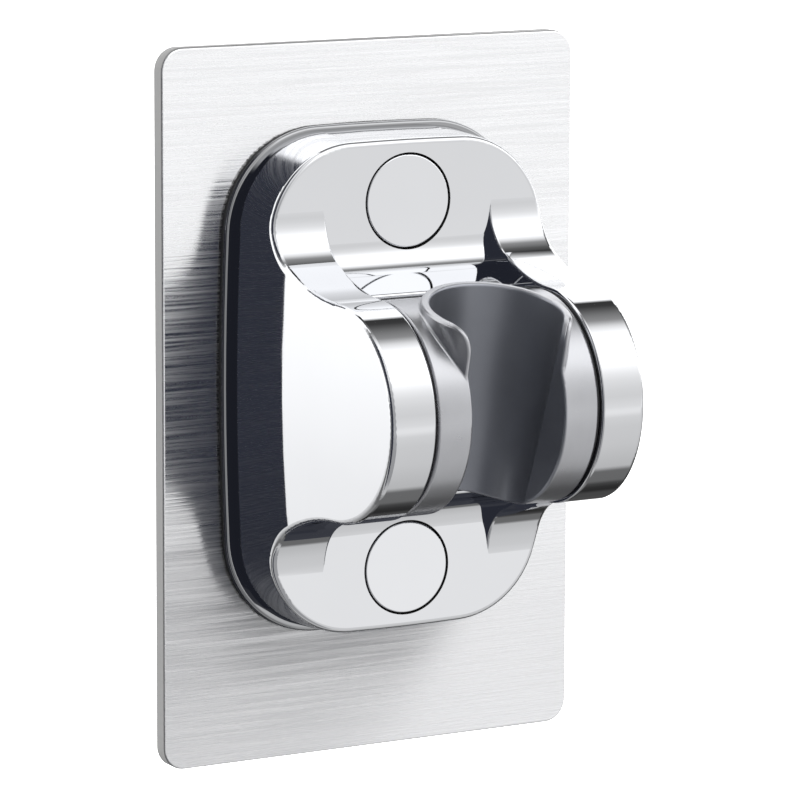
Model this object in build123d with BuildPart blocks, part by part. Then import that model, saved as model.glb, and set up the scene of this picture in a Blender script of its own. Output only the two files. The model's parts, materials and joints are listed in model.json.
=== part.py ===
import math
import os

from build123d import *

os.makedirs("parts", exist_ok=True)

# Sizes in millimetres. The wall face lies on y = 0, the front faces -y, +z is up.
# A depth is measured forward from the front of the backing plate.

# Plate and adhesive sheet
adhesive_thickness = 0.8
adhesive_inset = 1.0
plate_thickness = 2.8
plate_width = 81.0
plate_height = 125.0
plate_corner = 4.0
plate_edge_round = 0.4

# Bracket outline at the plate, with slightly bowed sides and ends
bracket_centre_z = 3.9
bracket_half_width = 28.3
bracket_half_height = 43.6
bracket_side_bow = 1.6
bracket_end_bow = 0.8
bracket_corner = 17.0
bracket_draft = 4.44
bracket_edge_round = 1.0

# Foot ring under the bracket
ring_thickness = 1.6
ring_side_lip = 1.5
ring_end_lip = 0.8
ring_corner_growth = 1.2
ring_edge_round = 0.7
ring_opening_inset = 2.0
ring_rib_height = 1.4
ring_rib_width = 1.5
ring_rib_half_length = 18.0
ring_rib_clearance = 0.15

# Side profile of the bracket: flat pads, hollow sweeps and the barrel of each cheek
pad_depth = 13.0
axis_depth = 32.4
barrel_radius = 18.6
sweep_radius = 9.8
sweep_long_radius = 33.0
sweep_turn = 61.5
cheek_inner = 16.0
cheek_edge_round = 0.5

# Saddle between the cheeks
saddle_radius = 5.6
saddle_fall = 20.0
ledge_drop = 1.9
ledge_round = 0.6
saddle_gap = 1.1
saddle_overlap = 2.0

# Recess in the back of the bracket
recess_wall = 3.2
pad_wall = 4.0
boss_wall = 2.6
core_wall = 2.6
core_end_wall = 3.35
core_end_drop = 16.2

# Caps
cap_spacing = 63.9
cap_radius = 8.0
cap_gap = 0.35
cap_thickness = 2.0
cap_edge_round = 0.25
cap_spigot_wall = 1.0
cap_spigot_length = 1.2
spigot_clearance = 0.03

# Studs, washers and nuts under the caps
well_radius = 6.2
boss_floor_depth = 4.5
stud_radius = 2.5
stud_hole_clearance = 0.3
stud_end_gap = 0.8
stud_end_chamfer = 0.4
stud_head_radius = 4.5
stud_head_thickness = 1.2
clinch_clearance = 0.02
stud_washer_radius = 5.0
stud_washer_thickness = 1.0
nut_across_flats = 8.0
nut_thickness = 4.0
nut_chamfer = 0.4
thread_clearance = 0.05

# Cradle
cradle_tilt = 14.0
drum_inset = 0.4
drum_end_round = 0.5
bore_offset = 6.0
collar_rise = 1.1
collar_wall = 1.5
bore_top_radius = 11.25
bore_taper = 2.05
slot_inset = 2.4
slot_shoulder_gap = 0.1
slot_shoulder_height = 4.5
lip_round = 0.5
crease_round = 0.4

# Tilt stop: a rib on the saddle runs in a groove of the drum
tilt_back = 14.0
tilt_forward = 41.0
stop_rib_half_width = 1.5
stop_rib_half_length = 6.0
stop_rib_reach = 1.2
stop_groove_clearance = 0.5
stop_angle_clearance = 2.0

# Pivots
plunger_nose_radius = 4.5
plunger_nose_reach = 2.2
plunger_nose_round = 1.2
plunger_body_radius = 6.0
plunger_body_length = 3.6
plunger_inset = 0.1
plunger_bore_radius = 3.6
plunger_floor = 1.4
running_clearance = 0.05
nose_end_gap = 0.4
socket_depth = 7.0
spring_radius = 2.9
spring_wire_radius = 0.4
spring_turns = 5.0
spring_end_gap = 0.05

# Friction washers at the drum's ends
friction_washer_inset = 0.6
friction_washer_bore_gap = 0.95
friction_washer_thickness = 0.4
friction_washer_gap = 0.1

# Sizes that follow from the ones above
plate_front = adhesive_thickness + plate_thickness
axis_y = -(plate_front + axis_depth)
draft_slope = math.tan(math.radians(bracket_draft))
skirt_half_width = bracket_half_width - ring_thickness * draft_slope
skirt_half_height = bracket_half_height - ring_thickness * draft_slope
skirt_rear_y = -(plate_front + ring_thickness)
recess_depth = pad_depth - pad_wall
boss_radius = well_radius + boss_wall
recess_half_width = skirt_half_width - recess_wall
recess_half_height = skirt_half_height - recess_wall
recess_corner = bracket_corner - recess_wall
socket_radius = plunger_body_radius + running_clearance
core_depth = axis_depth - socket_radius - core_end_wall
core_inner = cheek_inner + core_wall
core_outer = bracket_half_width - core_depth * draft_slope - recess_wall
core_middle = (core_inner + core_outer) / 2
cap_heights = [bracket_centre_z + cap_spacing / 2, bracket_centre_z - cap_spacing / 2]
cap_seat_depth = pad_depth - cap_thickness
stud_end_depth = cap_seat_depth - stud_end_gap
drum_radius = barrel_radius - drum_inset
drum_half_length = cheek_inner - friction_washer_thickness - 2 * friction_washer_gap
rim_height = drum_radius + collar_rise
collar_radius = bore_top_radius + collar_wall
bore_bottom_radius = bore_top_radius - bore_taper
slot_half_width = bore_top_radius - slot_inset
friction_washer_radius = drum_radius - friction_washer_inset
friction_washer_bore_radius = socket_radius + friction_washer_bore_gap
saddle_groove_radius = drum_radius + saddle_gap
ledge_height = saddle_groove_radius - ledge_drop
front_limit = axis_depth + 2 * barrel_radius
side_limit = 2 * bracket_half_width
end_limit = 2 * bracket_half_height

# The hollow sweep leaves the pad on a tight curve and meets the barrel on a long one
sweep_break = math.radians(sweep_turn)
sweep_growth = sweep_long_radius - sweep_radius
long_depth = pad_depth + sweep_radius + sweep_growth * math.cos(sweep_break)
long_offset = long_depth - axis_depth
long_height = math.sqrt((barrel_radius + sweep_long_radius) ** 2 - long_offset**2)
sweep_height = long_height - sweep_growth * math.sin(sweep_break)
sweep_end = math.atan2(long_height, long_offset)
core_half_height = sweep_height - core_end_drop

# The saddle leaves the pad on a curve and falls straight to the groove round the drum
fall = math.radians(saddle_fall)
saddle_break = math.pi / 2 - fall
ledge_front_depth = axis_depth - math.sqrt(saddle_groove_radius**2 - ledge_height**2)
ledge_run = ledge_front_depth - pad_depth - saddle_radius
saddle_height = ledge_height + ledge_run * math.tan(fall) + saddle_radius / math.cos(fall)

# Looking from the side: local x is the depth, local y the height above the bracket's centre
side_plane = Plane(
    origin=(0, -plate_front, bracket_centre_z), x_dir=(0, -1, 0), z_dir=(-1, 0, 0)
)
# Across the drum's ends
drum_plane = Plane(origin=(0, axis_y, bracket_centre_z), x_dir=(0, -1, 0), z_dir=(-1, 0, 0))
# Along the cradle's own axis, which leans forward
tilt = math.radians(cradle_tilt)
cradle_axis = Vector(0, -math.sin(tilt), math.cos(tilt))
cradle_forward = Vector(0, -math.cos(tilt), -math.sin(tilt))
drum_centre = Vector(0, axis_y, bracket_centre_z)
bore_centre = drum_centre + cradle_forward * bore_offset
collar_plane = Plane(origin=bore_centre, x_dir=(1, 0, 0), z_dir=cradle_axis)
bore_plane = Plane(origin=bore_centre, x_dir=(1, 0, 0), z_dir=cradle_forward)


def hollow_point(depth, height, radius, turn, side):
    return (depth - radius * math.cos(turn), side * (height - radius * math.sin(turn)))


def hollow_arc(depth, height, radius, start, end, side):
    ThreePointArc(
        *[
            hollow_point(depth, height, radius, turn, side)
            for turn in (start, (start + end) / 2, end)
        ]
    )


def front_plane(depth):
    return Plane(origin=(0, -(plate_front + depth), 0), x_dir=(1, 0, 0), z_dir=(0, -1, 0))


def bowed_outline(depth, half_width, half_height, corner):
    side = half_width - bracket_side_bow
    end = half_height - bracket_end_bow
    low = bracket_centre_z - end
    high = bracket_centre_z + end
    with BuildSketch(front_plane(depth)) as outline:
        with BuildLine():
            ThreePointArc((side, low), (half_width, bracket_centre_z), (side, high))
            ThreePointArc((side, high), (0, bracket_centre_z + half_height), (-side, high))
            ThreePointArc((-side, high), (-half_width, bracket_centre_z), (-side, low))
            ThreePointArc((-side, low), (0, bracket_centre_z - half_height), (side, low))
        make_face()
        fillet(outline.vertices(), radius=corner)
    return outline.sketch


# Adhesive sheet, the face that meets the wall
with BuildPart() as adhesive_sheet:
    with BuildSketch(front_plane(-plate_front)):
        RectangleRounded(
            plate_width - 2 * adhesive_inset,
            plate_height - 2 * adhesive_inset,
            plate_corner - adhesive_inset,
        )
    extrude(amount=adhesive_thickness)

# Backing plate with two counterbored holes for the studs
with BuildPart() as backing_plate:
    with BuildSketch(front_plane(-plate_thickness)):
        RectangleRounded(plate_width, plate_height, plate_corner)
    extrude(amount=plate_thickness)
    fillet(backing_plate.faces().sort_by(Axis.Y)[0].edges(), radius=plate_edge_round)
    with BuildSketch(front_plane(-plate_thickness)):
        with Locations([(0, height) for height in cap_heights]):
            Circle(stud_head_radius + clinch_clearance)
    extrude(amount=stud_head_thickness, mode=Mode.SUBTRACT)
    with BuildSketch(front_plane(-plate_thickness)):
        with Locations([(0, height) for height in cap_heights]):
            Circle(stud_radius + clinch_clearance)
    extrude(amount=plate_thickness, mode=Mode.SUBTRACT)

# Foot ring with a rounded outer edge and two locating ribs inside the bracket
with BuildPart() as base_ring:
    extrude(
        bowed_outline(
            0,
            bracket_half_width + ring_side_lip,
            bracket_half_height + ring_end_lip,
            bracket_corner + ring_corner_growth,
        ),
        amount=ring_thickness,
    )
    fillet(base_ring.faces().sort_by(Axis.Y)[0].edges(), radius=ring_edge_round)
    with BuildSketch(front_plane(ring_thickness)):
        rib_outer = recess_half_width - ring_rib_clearance - bracket_side_bow / 2
        with Locations(
            (rib_outer - ring_rib_width / 2, bracket_centre_z),
            (-rib_outer + ring_rib_width / 2, bracket_centre_z),
        ):
            Rectangle(ring_rib_width, 2 * ring_rib_half_length)
    extrude(amount=ring_rib_height)
    with BuildSketch(front_plane(0)):
        with Locations((0, bracket_centre_z)):
            RectangleRounded(
                2 * (rib_outer - ring_rib_width - ring_opening_inset),
                2 * (recess_half_height - ring_opening_inset),
                recess_corner - ring_opening_inset,
            )
    extrude(amount=ring_thickness, mode=Mode.SUBTRACT)

# Outer form of the bracket: drafted outline trimmed to the side profile
with BuildPart() as bracket_form:
    extrude(
        bowed_outline(ring_thickness, skirt_half_width, skirt_half_height, bracket_corner),
        amount=front_limit,
        taper=bracket_draft,
    )
    with BuildSketch(side_plane):
        with BuildLine():
            Polyline(
                (pad_depth, sweep_height),
                (pad_depth, end_limit),
                (0, end_limit),
                (0, -end_limit),
                (pad_depth, -end_limit),
                (pad_depth, -sweep_height),
            )
            for side in (1, -1):
                tight_depth = pad_depth + sweep_radius
                hollow_arc(tight_depth, sweep_height, sweep_radius, 0, sweep_break, side)
                hollow_arc(long_depth, long_height, sweep_long_radius, sweep_break, sweep_end, side)
            ThreePointArc(
                hollow_point(long_depth, long_height, sweep_long_radius, sweep_end, -1),
                (axis_depth + barrel_radius, 0),
                hollow_point(long_depth, long_height, sweep_long_radius, sweep_end, 1),
            )
        make_face()
    extrude(amount=side_limit, both=True, mode=Mode.INTERSECT)
    front_rim = bracket_form.edges().filter_by(GeomType.LINE, reverse=True)
    front_rim = front_rim.filter_by(
        lambda edge: max(end.Y for end in edge.vertices()) < skirt_rear_y - ring_thickness
    )
    fillet(front_rim, radius=bracket_edge_round)

# Inner slices of the two cheeks, with rounded edges
with BuildPart() as cheek_slices:
    add(bracket_form.part)
    with BuildSketch(side_plane):
        Rectangle(2 * front_limit, 2 * sweep_height)
    extrude(amount=cheek_inner + saddle_overlap, both=True, mode=Mode.INTERSECT)
    with BuildSketch(side_plane):
        Rectangle(2 * front_limit, 2 * end_limit)
    extrude(amount=cheek_inner, both=True, mode=Mode.SUBTRACT)
    inner_rim = cheek_slices.edges().filter_by(GeomType.CIRCLE).filter_by(
        lambda edge: abs(abs(edge.center().X) - cheek_inner) < running_clearance
    )
    fillet(inner_rim, radius=cheek_edge_round)

# Bracket: saddle between the cheeks, recess behind, cap seats and pivot sockets
with BuildPart() as bracket_body:
    add(bracket_form.part)
    with BuildSketch(side_plane):
        with BuildLine():
            for side in (1, -1):
                curve_depth = pad_depth + saddle_radius
                Line((pad_depth, side * sweep_height), (pad_depth, side * saddle_height))
                hollow_arc(curve_depth, saddle_height, saddle_radius, 0, saddle_break, side)
                Line(
                    hollow_point(curve_depth, saddle_height, saddle_radius, saddle_break, side),
                    (ledge_front_depth, side * ledge_height),
                )
            ThreePointArc(
                (ledge_front_depth, ledge_height),
                (axis_depth - saddle_groove_radius, 0),
                (ledge_front_depth, -ledge_height),
            )
            Polyline(
                (pad_depth, -sweep_height),
                (front_limit, -sweep_height),
                (front_limit, sweep_height),
                (pad_depth, sweep_height),
            )
        make_face()
    extrude(amount=cheek_inner + saddle_overlap, both=True, mode=Mode.SUBTRACT)
    ledge_edges = bracket_body.edges().filter_by(Axis.X).filter_by(
        lambda edge: abs(edge.center().Y + plate_front + ledge_front_depth) < running_clearance
    )
    fillet(ledge_edges, radius=ledge_round)
    add(cheek_slices.part)
    # Tilt stop rib at the back of the saddle
    rib_back = axis_depth - saddle_groove_radius - saddle_gap
    rib_tip = axis_depth - drum_radius + stop_rib_reach
    with BuildSketch(side_plane):
        with Locations(((rib_back + rib_tip) / 2, 0)):
            Rectangle(rib_tip - rib_back, 2 * stop_rib_half_width)
    extrude(amount=stop_rib_half_length, both=True)
    # Recess behind, with a hollow core in each cheek and a boss left round each stud
    extrude(
        bowed_outline(ring_thickness, recess_half_width, recess_half_height, recess_corner),
        amount=recess_depth - ring_thickness,
        mode=Mode.SUBTRACT,
    )
    with BuildSketch(front_plane(ring_thickness)):
        with Locations((core_middle, bracket_centre_z), (-core_middle, bracket_centre_z)):
            SlotOverall(2 * core_half_height, core_outer - core_inner, rotation=90)
    extrude(amount=core_depth - ring_thickness, mode=Mode.SUBTRACT)
    with BuildSketch(front_plane(ring_thickness)):
        with Locations([(0, height) for height in cap_heights]):
            Circle(boss_radius)
    extrude(amount=recess_depth - ring_thickness)
    with BuildSketch(front_plane(cap_seat_depth)):
        with Locations([(0, height) for height in cap_heights]):
            Circle(cap_radius + cap_gap)
    extrude(amount=2 * cap_thickness, mode=Mode.SUBTRACT)
    with BuildSketch(front_plane(cap_seat_depth)):
        with Locations([(0, height) for height in cap_heights]):
            Circle(well_radius)
    extrude(amount=boss_floor_depth - cap_seat_depth, mode=Mode.SUBTRACT)
    with BuildSketch(front_plane(boss_floor_depth)):
        with Locations([(0, height) for height in cap_heights]):
            Circle(stud_radius + stud_hole_clearance)
    extrude(amount=ring_thickness - boss_floor_depth, mode=Mode.SUBTRACT)
    # Blind sockets for the pivots
    with BuildSketch(drum_plane):
        Circle(socket_radius)
    extrude(amount=cheek_inner + socket_depth, both=True, mode=Mode.SUBTRACT)

# Cap: a disc flush with the pad and a short spigot in the well
with BuildPart() as upper_cap:
    with BuildSketch(front_plane(cap_seat_depth)):
        with Locations((0, cap_heights[0])):
            Circle(cap_radius)
    extrude(amount=cap_thickness)
    fillet(upper_cap.faces().sort_by(Axis.Y)[0].edges(), radius=cap_edge_round)
    with BuildSketch(front_plane(cap_seat_depth)):
        with Locations((0, cap_heights[0])):
            Circle(well_radius - spigot_clearance)
            Circle(well_radius - spigot_clearance - cap_spigot_wall, mode=Mode.SUBTRACT)
    extrude(amount=-cap_spigot_length)

with BuildPart() as lower_cap:
    with Locations((0, 0, -cap_spacing)):
        add(upper_cap.part)

# Studs with a flush head at the back of the plate
with BuildPart() as mounting_studs:
    with BuildSketch(front_plane(-plate_thickness)):
        with Locations([(0, height) for height in cap_heights]):
            Circle(stud_radius)
    extrude(amount=plate_thickness + stud_end_depth)
    stud_ends = mounting_studs.faces().filter_by(Axis.Y).group_by(Axis.Y)[0]
    chamfer(stud_ends.edges(), length=stud_end_chamfer)
    with BuildSketch(front_plane(-plate_thickness)):
        with Locations([(0, height) for height in cap_heights]):
            Circle(stud_head_radius)
    extrude(amount=stud_head_thickness)

with BuildPart() as stud_washers:
    with BuildSketch(front_plane(boss_floor_depth)):
        with Locations([(0, height) for height in cap_heights]):
            Circle(stud_washer_radius)
            Circle(stud_radius + stud_hole_clearance, mode=Mode.SUBTRACT)
    extrude(amount=stud_washer_thickness)

with BuildPart() as stud_nuts:
    with BuildSketch(front_plane(boss_floor_depth + stud_washer_thickness)):
        with Locations([(0, height) for height in cap_heights]):
            RegularPolygon(nut_across_flats / 2, 6, major_radius=False)
    extrude(amount=nut_thickness)
    nut_tops = stud_nuts.faces().filter_by(Axis.Y).group_by(Axis.Y)[0]
    chamfer(nut_tops.edges(), length=nut_chamfer)
    with BuildSketch(front_plane(boss_floor_depth)):
        with Locations([(0, height) for height in cap_heights]):
            Circle(stud_radius + thread_clearance)
    extrude(amount=pad_depth, mode=Mode.SUBTRACT)

# Cradle: drum with a collar, a tapered bore and an open front
bore_slope = (bore_top_radius - bore_bottom_radius) / (rim_height + drum_radius)
bore_reach = rim_height + saddle_gap
shoulder_side = bore_top_radius - slot_shoulder_gap
shoulder_width = shoulder_side - slot_half_width
shoulder_foot = rim_height - slot_shoulder_height
stop_rib_angle = math.degrees(math.atan(stop_rib_half_width / (drum_radius - stop_rib_reach)))
groove_start = 180 - tilt_back - stop_rib_angle - stop_angle_clearance
groove_sweep = tilt_back + tilt_forward + 2 * (stop_rib_angle + stop_angle_clearance)
groove_middle = math.radians(groove_start + groove_sweep / 2)
groove_floor = drum_radius - stop_rib_reach - stop_groove_clearance
nose_recess_depth = plunger_nose_reach + nose_end_gap
with BuildPart() as cradle:
    with BuildSketch(drum_plane):
        Circle(drum_radius)
    extrude(amount=drum_half_length, both=True)
    fillet(cradle.edges().filter_by(GeomType.CIRCLE), radius=drum_end_round)
    with BuildSketch(collar_plane):
        Circle(collar_radius)
    extrude(amount=rim_height)
    # Front slot, with rounded shoulders where it meets the rim
    with BuildSketch(bore_plane):
        with BuildLine():
            Polyline(
                (slot_half_width, shoulder_foot),
                (slot_half_width, -end_limit),
                (-slot_half_width, -end_limit),
                (-slot_half_width, shoulder_foot),
            )
            EllipticalCenterArc(
                (-shoulder_side, shoulder_foot),
                shoulder_width,
                slot_shoulder_height,
                0,
                arc_size=90,
            )
            Polyline(
                (-shoulder_side, rim_height),
                (-shoulder_side, end_limit),
                (shoulder_side, end_limit),
                (shoulder_side, rim_height),
            )
            EllipticalCenterArc(
                (shoulder_side, shoulder_foot),
                shoulder_width,
                slot_shoulder_height,
                90,
                arc_size=90,
            )
        make_face()
    extrude(amount=front_limit, mode=Mode.SUBTRACT)
    crease = cradle.edges().filter_by(GeomType.BSPLINE).sort_by(SortBy.LENGTH)[-1]
    fillet(crease, radius=crease_round)
    with BuildSketch(bore_plane):
        with BuildLine():
            Polyline(
                (0, -bore_reach),
                (bore_bottom_radius + bore_slope * (drum_radius - bore_reach), -bore_reach),
                (bore_top_radius + bore_slope * (bore_reach - rim_height), bore_reach),
                (0, bore_reach),
                close=True,
            )
        make_face()
    revolve(axis=Axis(bore_centre, cradle_axis), mode=Mode.SUBTRACT)
    bore_edges = cradle.faces().filter_by(GeomType.CONE).edges()
    slot_edges = cradle.faces().filter_by(Axis.X).filter_by(
        lambda face: abs(abs(face.center().X) - slot_half_width) < running_clearance
    ).edges()
    shoulder_edges = cradle.faces().filter_by(GeomType.EXTRUSION).edges()
    rim_edges = cradle.faces().filter_by(collar_plane).edges()
    lip = bore_edges + slot_edges + shoulder_edges + rim_edges
    lip = lip.filter_by(Axis(bore_centre, cradle_forward), reverse=True)
    fillet(ShapeList(set(lip)), radius=lip_round)
    # Recesses for the pivots
    with BuildSketch(drum_plane.offset(drum_half_length), drum_plane.offset(-drum_half_length)):
        Circle(plunger_nose_radius + running_clearance)
    extrude(amount=nose_recess_depth, both=True, mode=Mode.SUBTRACT)
    # Groove for the tilt stop
    with BuildSketch(drum_plane):
        with BuildLine():
            inner_arc = CenterArc((0, 0), groove_floor, groove_start, groove_sweep)
            outer_arc = CenterArc((0, 0), saddle_groove_radius, groove_start, groove_sweep)
            Line(inner_arc @ 0, outer_arc @ 0)
            Line(inner_arc @ 1, outer_arc @ 1)
        make_face()
    extrude(
        amount=stop_rib_half_length + stop_groove_clearance, both=True, mode=Mode.SUBTRACT
    )

# Pivot plungers: a wide body in the cheek's socket, a round nose in the drum, hollow for the spring
nose_end = drum_half_length - plunger_nose_reach
body_front = cheek_inner + plunger_inset
body_back = body_front + plunger_body_length
with BuildPart() as pivot_plungers:
    for side in (1, -1):
        side_axis = Plane(drum_centre, x_dir=(0, -side, 0), z_dir=(side, 0, 0))
        with BuildSketch(side_axis.offset(nose_end)):
            Circle(plunger_nose_radius)
        extrude(amount=body_back - nose_end)
        with BuildSketch(side_axis.offset(body_front)):
            Circle(plunger_body_radius)
        extrude(amount=plunger_body_length)
    nose_edges = pivot_plungers.edges().filter_by(
        lambda edge: abs(abs(edge.center().X) - nose_end) < running_clearance
    )
    fillet(nose_edges, radius=plunger_nose_round)
    for side in (1, -1):
        side_axis = Plane(drum_centre, x_dir=(0, -side, 0), z_dir=(side, 0, 0))
        with BuildSketch(side_axis.offset(body_back)):
            Circle(plunger_bore_radius)
        extrude(amount=nose_end + plunger_floor - body_back, mode=Mode.SUBTRACT)

# Pivot springs, between the plunger's floor and the end of the socket
spring_near = nose_end + plunger_floor + spring_wire_radius + spring_end_gap
spring_far = cheek_inner + socket_depth - spring_wire_radius - spring_end_gap
spring_length = spring_far - spring_near
with BuildPart() as pivot_springs:
    for side in (1, -1):
        with BuildLine() as coil:
            Helix(
                pitch=spring_length / spring_turns,
                height=spring_length,
                radius=spring_radius,
                center=(side * spring_near, axis_y, bracket_centre_z),
                direction=(side, 0, 0),
            )
        with BuildSketch(Plane(coil.line @ 0, z_dir=coil.line % 0)):
            Circle(spring_wire_radius)
        sweep(path=coil.line)

# Friction washers
with BuildPart() as friction_washers:
    washer_middle = (drum_half_length + cheek_inner) / 2
    with BuildSketch(drum_plane.offset(washer_middle), drum_plane.offset(-washer_middle)):
        Circle(friction_washer_radius)
        Circle(friction_washer_bore_radius, mode=Mode.SUBTRACT)
    extrude(amount=friction_washer_thickness / 2, both=True)

pieces = {
    "adhesive_sheet": adhesive_sheet,
    "backing_plate": backing_plate,
    "base_ring": base_ring,
    "bracket_body": bracket_body,
    "upper_cap": upper_cap,
    "lower_cap": lower_cap,
    "mounting_studs": mounting_studs,
    "stud_washers": stud_washers,
    "stud_nuts": stud_nuts,
    "cradle": cradle,
    "pivot_plungers": pivot_plungers,
    "pivot_springs": pivot_springs,
    "friction_washers": friction_washers,
}
for name, piece in pieces.items():
    piece.part.label = name
    export_step(piece.part, "parts/" + name + ".step")
    box = piece.part.bounding_box()
    print(name, len(piece.solids()), "solids", round(piece.part.volume), "mm3", box.size)
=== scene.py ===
import json
import math

import bmesh
import bpy
from mathutils import Matrix, Vector

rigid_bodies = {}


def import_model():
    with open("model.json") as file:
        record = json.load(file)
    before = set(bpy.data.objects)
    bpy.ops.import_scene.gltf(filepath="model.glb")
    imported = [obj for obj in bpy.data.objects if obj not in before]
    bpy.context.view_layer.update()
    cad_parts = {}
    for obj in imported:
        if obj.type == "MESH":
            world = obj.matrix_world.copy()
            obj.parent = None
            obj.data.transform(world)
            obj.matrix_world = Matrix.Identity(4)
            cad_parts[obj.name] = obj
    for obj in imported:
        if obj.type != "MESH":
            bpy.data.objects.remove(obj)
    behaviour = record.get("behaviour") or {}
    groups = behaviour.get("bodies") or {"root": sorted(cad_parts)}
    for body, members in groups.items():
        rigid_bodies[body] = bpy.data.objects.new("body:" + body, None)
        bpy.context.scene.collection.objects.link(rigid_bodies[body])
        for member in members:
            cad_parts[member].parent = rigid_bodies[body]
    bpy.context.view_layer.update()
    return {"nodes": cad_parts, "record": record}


for spare in list(bpy.data.objects):
    bpy.data.objects.remove(spare)
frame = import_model()
nodes = frame["nodes"]
print("frame loaded:", ", ".join(sorted(nodes)))


class Sock:
    # one socket of a node tree; arithmetic on it adds Math nodes
    def __init__(self, tree, socket):
        self.tree = tree
        self.socket = socket

    def node(self, kind, settings=None, inputs=None, output=0):
        made = self.tree.nodes.new(kind)
        for key, value in (settings or {}).items():
            if key == "stops":
                fillRamp(made.color_ramp, value)
            else:
                setattr(made, key, value)
        feed(made, inputs or {})
        return Sock(self.tree, made.outputs[output]) if made.outputs else made

    def maths(self, operation, *values):
        return self.node("ShaderNodeMath", {"operation": operation}, dict(enumerate(values)))

    def __add__(self, other):
        return self.maths("ADD", self, other)

    def __radd__(self, other):
        return self.maths("ADD", other, self)

    def __sub__(self, other):
        return self.maths("SUBTRACT", self, other)

    def __rsub__(self, other):
        return self.maths("SUBTRACT", other, self)

    def __mul__(self, other):
        return self.maths("MULTIPLY", self, other)

    def __rmul__(self, other):
        return self.maths("MULTIPLY", other, self)

    def size(self):
        return self.maths("ABSOLUTE", self)

    def root(self):
        return self.maths("SQRT", self)

    def either(self, other):
        return self.maths("MAXIMUM", self, other)

    def step(self, low, high):
        # 0 below low, 1 above high, smooth between
        return self.node(
            "ShaderNodeMapRange",
            {"interpolation_type": "SMOOTHSTEP"},
            {"Value": self, "From Min": low, "From Max": high},
        )

    def within(self, low, high, soft):
        return self.step(low - soft, low + soft) * (1 - self.step(high - soft, high + soft))

    def parts(self):
        split = self.node("ShaderNodeSeparateXYZ", {}, {0: self})
        return [Sock(self.tree, socket) for socket in split.socket.node.outputs]

    def blendTo(self, other, factor):
        # colours: this one where factor is 0, the other where it is 1
        return self.node(
            "ShaderNodeMix",
            {"data_type": "RGBA"},
            {"Factor": factor, 6: self, 7: other},
            output=2,
        )


def feed(made, values):
    # links or sets the inputs of a node
    for key, value in values.items():
        if isinstance(value, Sock):
            value.tree.links.new(value.socket, made.inputs[key])
        else:
            made.inputs[key].default_value = value


def grey(value, tint=(1.0, 1.0, 1.0)):
    return tuple(value * part for part in tint)


def opaque(colour):
    return (*colour, 1.0)


def fillRamp(colours, stops):
    while len(colours.elements) > 1:
        colours.elements.remove(colours.elements[-1])
    for index, (place, colour) in enumerate(stops):
        item = colours.elements[0] if index == 0 else colours.elements.new(place)
        item.position = place
        item.color = opaque(colour)


def ramp(value, stops):
    return value.node("ShaderNodeValToRGB", {"stops": stops}, {"Fac": value})


def openMaterial(name):
    material = bpy.data.materials.new(name)
    material.use_nodes = True
    tree = material.node_tree
    shader = tree.nodes["Principled BSDF"]
    place = Sock(tree, tree.nodes.new("ShaderNodeTexCoord").outputs["Object"])
    return material, shader, place


noiseMean = 0.5  # what a normalized noise varies about


def noise(place, spec):
    if "stretch" in spec:  # how often it changes along each axis
        stretch = {"Vector": place, "Scale": spec["stretch"]}
        place = place.node("ShaderNodeMapping", {"vector_type": "POINT"}, stretch)
    return place.node("ShaderNodeTexNoise", {"normalize": True}, {
        "Vector": place,
        "Scale": spec.get("scale", 1.0),
        "Detail": spec["detail"],
        "Roughness": spec["roughness"],
    })


def bump(height, strength, distance):
    return height.node(
        "ShaderNodeBump", {}, {"Height": height, "Strength": strength, "Distance": distance}
    )


# Camera, at the photograph's viewing angle
camera = {
    "azimuth": -29.205,
    "elevation": 9.649,
    "distance": 0.82485,
    "aim": (0.0, -0.0036, 0.0),
    "aimPixel": (370.4, 396.5),  # where the aim shows in the frame
    "focalPixels": 4726.0,
    "framePixels": 800.0,
    "roll": 0.25,
    "sensor": 36.0,
    "clip": (0.01, 50.0),
}


def setCamera(spec):
    turn, lift = math.radians(spec["azimuth"]), math.radians(spec["elevation"])
    level = math.cos(lift)
    back = Vector((math.sin(turn) * level, -math.cos(turn) * level, math.sin(lift)))
    right = Vector((math.cos(turn), math.sin(turn), 0.0))
    up = back.cross(right)
    middle = spec["framePixels"] / 2
    perPixel = spec["distance"] / spec["focalPixels"]
    target = Vector(spec["aim"])
    place = target + back * spec["distance"]
    target += right * (middle - spec["aimPixel"][0]) * perPixel
    target -= up * (middle - spec["aimPixel"][1]) * perPixel
    data = bpy.data.cameras.new("photoCamera")
    data.sensor_width = spec["sensor"]
    data.lens = spec["focalPixels"] / spec["framePixels"] * spec["sensor"]
    data.clip_start, data.clip_end = spec["clip"]
    made = bpy.data.objects.new("photoCamera", data)
    bpy.context.scene.collection.objects.link(made)
    look = (target - place).to_track_quat("-Z", "Y").to_matrix().to_4x4()
    roll = Matrix.Rotation(math.radians(spec["roll"]), 4, "Z")
    made.matrix_world = Matrix.Translation(place) @ look @ roll
    bpy.context.scene.camera = made
    print("camera set, lens", round(data.lens, 1))


setCamera(camera)

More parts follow.
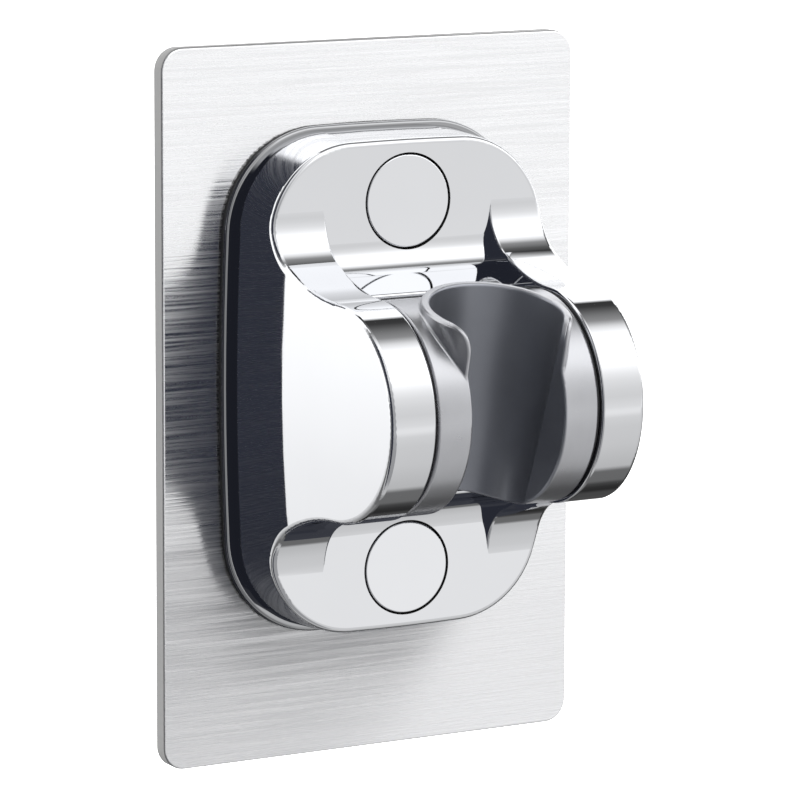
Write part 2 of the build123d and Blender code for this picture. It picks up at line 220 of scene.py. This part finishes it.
# Studio: long soft strips over and under the holder, a dark side at the front left.
# Angles are in degrees: a turn is 0 ahead and grows to the right, a lift is 0 at the horizon.
studio = {
    # angle round the holder's cross axis, 0 ahead and 90 overhead, with the light's level
    "strips": [
        (-180, 0.08), (-127, 0.08), (-120, 0.03), (-113, 0.04), (-106, 0.08), (-101, 0.19),
        (-85, 0.20), (-79, 0.68), (-70, 0.72), (-50, 0.82), (-30, 0.86), (-20, 0.93),
        (-15, 1.13), (-12, 1.13), (-9, 1.03), (2, 0.92), (10, 0.97), (20, 1.10), (26, 1.25),
        (33, 1.5), (40, 2.0), (66, 2.0), (75, 1.45), (81, 1.05), (85, 0.66), (89, 0.38),
        (97, 0.26), (104, 0.14), (110, 0.06), (117, 0.05), (121, 1.6), (180, 1.6),
    ],
    "brightest": 2.0,
    "darkColour": (0.044, 0.048, 0.066),
    "darkTurn": (-97, -3, 5),  # from, to and how softly
    "darkLift": (-66, 66, 8),
    "darkLean": 0.6,  # how far it moves to the right on its way down
    "twice": 1.5,  # more bounces than this are light off two surfaces
    "darkOnce": 0.5,  # share of the dark side in light off one surface
    "onceTurn": (-86, -48, 3),  # where such light is dark all the same
    "darkBelow": (-22, 8),  # light off two surfaces fades out downwards
    "darkBelowShare": 0.95,
    "rearTurn": (-118, -97),  # bright behind, on both sides
    "rearLift": [(-60, 0.3), (-30, 0.8), (-12, 1.25), (-6, 1.6), (60, 1.6)],
    "rightLift": (-20, 24, 4),  # the height of the right one
    "middle": (-0.02, 0.02),  # where left and right meet
}


def lightRamp(angle, reach, stops, peak):
    # light levels over an angle that runs from -reach to reach
    places = [((at + reach) / (2 * reach), grey(level / peak)) for at, level in stops]
    return ramp((angle + reach) * (1 / (2 * reach)), places)


def setStudio(spec):
    world = bpy.data.worlds.new("studio")
    bpy.context.scene.world = world
    world.use_nodes = True
    world.cycles.sampling_method = "NONE"  # bounces count alike in all of its light
    tree = world.node_tree
    tree.nodes.clear()
    away = Sock(tree, tree.nodes.new("ShaderNodeTexCoord").outputs["Generated"])
    x, y, z = away.parts()
    ahead = -1.0 * y
    toDegrees = 180.0 / math.pi
    peak = spec["brightest"]
    lift = z.maths("ARCSINE", z) * toDegrees
    turn = x.maths("ARCTAN2", x, ahead) * toDegrees
    around = z.maths("ARCTAN2", z, ahead) * toDegrees
    colour = lightRamp(around, 180.0, spec["strips"], peak)

    onRight = x.step(*spec["middle"])
    leftRear = (1 - turn.step(*spec["rearTurn"])) * (1 - onRight)
    rightRear = (1 - (-1.0 * turn).step(*spec["rearTurn"])) * onRight
    rightRear = rightRear * lift.within(*spec["rightLift"])
    colour = colour.blendTo(lightRamp(lift, 90.0, spec["rearLift"], peak), leftRear + rightRear)

    # the dark side is whole in light off two surfaces, so that one alone is bright from most sides
    lowered = lift.maths("MINIMUM", lift, 0.0)
    dark = (turn + lowered * spec["darkLean"]).within(*spec["darkTurn"]) * lift.within(*spec["darkLift"])
    bounces = away.node("ShaderNodeLightPath", output="Glossy Depth")
    again = bounces.maths("GREATER_THAN", bounces, spec["twice"])
    dark = dark * again.either(turn.within(*spec["onceTurn"])).either(spec["darkOnce"])
    dark = dark.either(again * (1 - lift.step(*spec["darkBelow"])) * spec["darkBelowShare"])
    colour = colour.blendTo(opaque(part / peak for part in spec["darkColour"]), dark)

    # the camera itself sees plain white
    lit = away.node("ShaderNodeBackground", {}, {"Color": colour, "Strength": peak})
    plain = away.node("ShaderNodeBackground", {}, {"Color": opaque(grey(1.0)), "Strength": 1.0})
    seen = away.node("ShaderNodeLightPath", output="Is Camera Ray")
    both = away.node("ShaderNodeMixShader", {}, {0: seen, 1: lit, 2: plain})
    away.node("ShaderNodeOutputWorld", {}, {"Surface": both})
    print("studio set")


setStudio(studio)

# Plate: fine level brush marks on bright metal, greyer where it was cut.
# Pairs of colour and share are for the lower and the upper plate; the lower plate's darker colour is
# painted shade.
plateLook = {
    "colour": (0.78, 0.93),
    "tint": (0.98, 0.985, 1.0),
    "colourSpread": 0.25,
    "shadeFade": (-0.045, 0.0),  # heights between lower and upper
    "hairs": {"stretch": (32.0, 32.0, 2000.0), "detail": 3.0, "roughness": 0.55},
    "bands": {"stretch": (6.0, 6.0, 330.0), "detail": 2.0, "roughness": 0.5},
    "hairShare": 0.75,
    "fine": 0.12,
    "fineSpread": 0.1,
    "coarse": 0.5,
    "coarseSpread": 0.2,
    "coarseShare": (0.85, 0.25),
    "shareSpread": 2.2,
    "lean": (2000.0, 9000.0),  # slope of the fine and the coarse reflection's bump
    "bumpStrength": 0.8,
    "bumpDepth": 0.00005,
    "anisotropic": 0.9,
    "brushTurn": 0.25,
    "halfSize": (0.0405, 0.0625),
    "corner": 0.004,
    "cutLine": (0.0002, 0.00005),  # in from the edge
    "cutColour": 0.29,
    "cutRoughness": 0.5,
}


def cutEdge(x, z, spec):
    # 1 on the plate's rim, out from a rounded rectangle
    corner = spec["corner"]
    aside, above = [
        (place.size() - (half - corner)).either(0.0) for place, half in zip((x, z), spec["halfSize"])
    ]
    outward = (aside * aside + above * above).root()
    return outward.step(*[corner - inset for inset in spec["cutLine"]])


def brushedPlate(spec):
    material, shader, place = openMaterial("brushedPlate")
    hairs = noise(place, spec["hairs"])
    bands = noise(place, spec["bands"])
    marks = hairs * spec["hairShare"] + bands * (1 - spec["hairShare"]) - noiseMean
    x, _, z = place.parts()
    cut = cutEdge(x, z, spec)
    upper = z.step(*spec["shadeFade"])
    low, high = spec["colour"]
    # painted shade: the colour darkens from the upper plate to the lower
    level = low + upper * (high - low) + marks * spec["colourSpread"]
    low, high = spec["coarseShare"]
    share = low + upper * (high - low) + marks * spec["shareSpread"]
    tone = ramp(level, [(0.0, grey(0.0)), (1.0, spec["tint"])])
    common = {
        "Base Color": tone.blendTo(opaque(grey(spec["cutColour"])), cut),
        "Metallic": 1.0,
        "Anisotropic": spec["anisotropic"],
        "Anisotropic Rotation": spec["brushTurn"],
    }
    fineNormal, coarseNormal = [
        bump(hairs * (1 - cut) - z * lean, spec["bumpStrength"], spec["bumpDepth"])
        for lean in spec["lean"]
    ]
    # a clear reflection and a wide one, as polished ground shows between brush marks
    fine = (spec["fine"] + marks * spec["fineSpread"]).either(cut * spec["cutRoughness"])
    coarse = spec["coarse"] + marks * spec["coarseSpread"]
    feed(shader, {**common, "Roughness": fine, "Normal": fineNormal})
    wideShine = place.node(
        "ShaderNodeBsdfPrincipled", {}, {**common, "Roughness": coarse, "Normal": coarseNormal}
    )
    clearShine = Sock(place.tree, shader.outputs["BSDF"])
    both = place.node("ShaderNodeMixShader", {}, {0: share, 1: clearShine, 2: wideShine})
    feed(place.tree.nodes["Material Output"], {"Surface": both})
    return material


# Bright plated metal, with painted shade making it dark and dull down in the seams round the caps and at
# the ring's foot
chromeLook = {
    "tint": (0.965, 0.975, 1.0),
    "roughness": 0.03,
    "smear": {"scale": 60.0, "detail": 3.0, "roughness": 0.55},
    "smearRange": (0.3, 0.7),
    "smearColour": 0.985,
    "smudge": 0.03,  # rougher where the smear is strong
    "smudgeRange": (0.45, 0.8),
    "capCentre": 0.0039,  # height midway between the caps
    "capOffset": 0.03195,
    "seamShade": (0.0079, 0.00845, 0.00005),  # inner and outer radius, how softly
    "padFront": -0.0166,
    "seamDepth": 0.00012,
    "footShade": (-0.0047, -0.0044),
    "seamShadeColour": 0.03,
    "seamShadeRoughness": 0.6,
}
# one chrome in three colours: the ring's darker colour is painted shade, the caps' lighter colour
# painted light
chromePieces = {
    "brightChrome": {"colour": 0.69, "on": ["bracket_body"]},
    "litCapChrome": {"colour": 0.73, "on": ["upper_cap", "lower_cap"]},
    "shadedRingChrome": {"colour": 0.36, "on": ["base_ring"]},
}


def chromePlate(name, spec, colour):
    material, shader, place = openMaterial(name)
    smear = noise(place, spec["smear"])
    x, y, z = place.parts()
    fromCap = (z - spec["capCentre"]).size() - spec["capOffset"]
    radius = (x * x + fromCap * fromCap).root()
    front, depth = spec["padFront"], spec["seamDepth"]
    # painted shade: dark, dull, non-metallic bands in the seams round the caps and at the ring's foot
    seamShade = radius.within(*spec["seamShade"]) * y.step(front + depth, front + 2 * depth)
    seamShade = seamShade.either(y.step(*spec["footShade"]))
    clear, smeared = spec["smearRange"]
    bright = ramp(smear, [
        (clear, grey(colour, spec["tint"])),
        (smeared, grey(colour * spec["smearColour"], spec["tint"])),
    ])
    smudge = smear.step(*spec["smudgeRange"]) * spec["smudge"]
    feed(shader, {
        "Base Color": bright.blendTo(opaque(grey(spec["seamShadeColour"])), seamShade),
        "Metallic": 1 - seamShade,
        "Roughness": spec["roughness"] + smudge + seamShade * spec["seamShadeRoughness"],
    })
    return material


# Cradle: grey plastic with a satin metallic paint, rougher down in the bore, where painted shade makes
# it darker and bluer
cradleLook = {
    "outside": {"colour": 0.49, "roughness": 0.29, "tint": (0.975, 0.985, 1.03)},
    # painted shade: the bore's colour is darker and bluer than the outside's
    "inside": {"colour": 0.35, "roughness": 0.40, "tint": (0.95, 0.985, 1.09)},
    "metallic": 0.85,
    "coat": 0.25,
    "coatRoughness": 0.12,
    "mottle": {"scale": 140.0, "detail": 3.0, "roughness": 0.5},
    "mottleRange": (0.25, 0.75),
    "mottleColour": (0.95, 1.05),
    "mottleRoughness": 0.08,
    "grain": {"scale": 4500.0, "detail": 2.0, "roughness": 0.5},
    "grainStrength": 0.03,
    "grainDepth": 0.00001,
    "mouthRadius": 0.01125,
    "taper": 0.055,
    "slotHalfWidth": 0.00885,
    "edge": (0.0001, 0.0004),  # how far out from the wall the inside ends
}


def boreShadeMask(place, spec):
    # 1 on the walls of the bore and of the slot at its front, where the shade is painted
    socket = next(item for item in frame["record"]["mounts"] if item["name"] == "handset_socket")
    mouth, upward = Vector(socket["pos_m"]), Vector(socket["axis"])
    forward = Vector((1.0, 0.0, 0.0)).cross(upward)

    def along(direction):
        # distance from the mouth in that direction
        way = {"operation": "DOT_PRODUCT"}
        reach = place.node("ShaderNodeVectorMath", way, {0: place, 1: direction}, output=1)
        return reach - mouth.dot(direction)

    x = place.parts()[0]
    near, far = spec["edge"]
    ahead = along(forward)
    radius = (x * x + ahead * ahead).root() - along(upward) * spec["taper"]
    bore = 1 - radius.step(spec["mouthRadius"] + near, spec["mouthRadius"] + far)
    slot = 1 - x.size().step(spec["slotHalfWidth"] + near, spec["slotHalfWidth"] + far)
    return bore.either(slot * ahead.step(0.0, near))


def greyPlastic(spec):
    material, shader, place = openMaterial("greyPlastic")
    mottle = noise(place, spec["mottle"])
    grain = noise(place, spec["grain"])
    inside = boreShadeMask(place, spec)
    shades = list(zip(spec["mottleRange"], spec["mottleColour"]))
    outer, inner = [
        ramp(mottle, [(at, grey(side["colour"] * shade, side["tint"])) for at, shade in shades])
        for side in (spec["outside"], spec["inside"])
    ]
    smooth, dull = spec["outside"]["roughness"], spec["inside"]["roughness"]
    uneven = (mottle - noiseMean) * spec["mottleRoughness"]
    feed(shader, {
        "Base Color": outer.blendTo(inner, inside),
        "Metallic": spec["metallic"],
        "Roughness": smooth + inside * (dull - smooth) + uneven,
        "Coat Weight": spec["coat"],
        "Coat Roughness": spec["coatRoughness"],
        "Normal": bump(grain, spec["grainStrength"], spec["grainDepth"]),
    })
    return material


# Small parts that stay mostly out of sight
smallLooks = {
    "foamTape": {
        "colour": (0.70, 0.70, 0.67), "roughness": 0.8, "metallic": 0.0,
        "scale": 900.0, "spread": 0.06, "depth": 0.00008,
        "on": ["adhesive_sheet"],
    },
    "zincSteel": {
        "colour": (0.60, 0.60, 0.61), "roughness": 0.35, "metallic": 1.0,
        "scale": 700.0, "spread": 0.05, "depth": 0.00002,
        "on": ["mounting_studs", "stud_washers", "stud_nuts", "pivot_springs"],
    },
    "whiteAcetal": {
        "colour": (0.80, 0.80, 0.76), "roughness": 0.4, "metallic": 0.0,
        "scale": 500.0, "spread": 0.03, "depth": 0.00002,
        "on": ["pivot_plungers"],
    },
    "darkNylon": {
        "colour": (0.03, 0.03, 0.033), "roughness": 0.5, "metallic": 0.0,
        "scale": 800.0, "spread": 0.10, "depth": 0.00003,
        "on": ["friction_washers"],
    },
}
smallCloud = {
    "detail": 3.0,
    "roughness": 0.55,
    "range": (0.25, 0.75),
    "roughnessSpread": 0.12,
    "bumpStrength": 0.2,
}


def smallFinish(name, spec, shared):
    material, shader, place = openMaterial(name)
    cloud = noise(place, {**shared, "scale": spec["scale"]})
    shades = zip(shared["range"], (1 - spec["spread"], 1 + spec["spread"]))
    feed(shader, {
        "Base Color": ramp(cloud, [(at, grey(shade, spec["colour"])) for at, shade in shades]),
        "Metallic": spec["metallic"],
        "Roughness": spec["roughness"] + (cloud - noiseMean) * shared["roughnessSpread"],
        "Normal": bump(cloud, shared["bumpStrength"], spec["depth"]),
    })
    return material


def dress(material, names):
    for name in names:
        slots = nodes[name].data.materials
        slots.clear()
        slots.append(material)


dress(brushedPlate(plateLook), ["backing_plate"])
for finish, look in chromePieces.items():
    dress(chromePlate(finish, chromeLook, look["colour"]), look["on"])
dress(greyPlastic(cradleLook), ["cradle"])
for finish, look in smallLooks.items():
    dress(smallFinish(finish, look, smallCloud), look["on"])
print("materials set")

# Plain pale floor, seen by the camera only, so the metal mirrors the studio alone
floorLook = {"height": -0.35, "reach": 6.0, "segments": 2, "colour": 0.9, "glow": 1.0}


def setFloor(spec):
    sheet = bmesh.new()
    bmesh.ops.create_grid(
        sheet, x_segments=spec["segments"], y_segments=spec["segments"], size=spec["reach"],
        matrix=Matrix.Translation((0.0, 0.0, spec["height"])),
    )
    mesh = bpy.data.meshes.new("floor")
    sheet.to_mesh(mesh)
    sheet.free()
    floor = bpy.data.objects.new("floor", mesh)
    bpy.context.scene.collection.objects.link(floor)
    material, shader, _ = openMaterial("paleFloor")
    feed(shader, {
        "Base Color": opaque(grey(spec["colour"])),
        "Emission Color": opaque(grey(1.0)),
        "Emission Strength": spec["glow"],
    })
    mesh.materials.append(material)
    floor.visible_glossy = False
    floor.visible_diffuse = False
    floor.visible_shadow = False
    print("floor set")


setFloor(floorLook)

bpy.context.scene.view_settings.view_transform = "Standard"
bpy.context.scene.view_settings.look = "None"
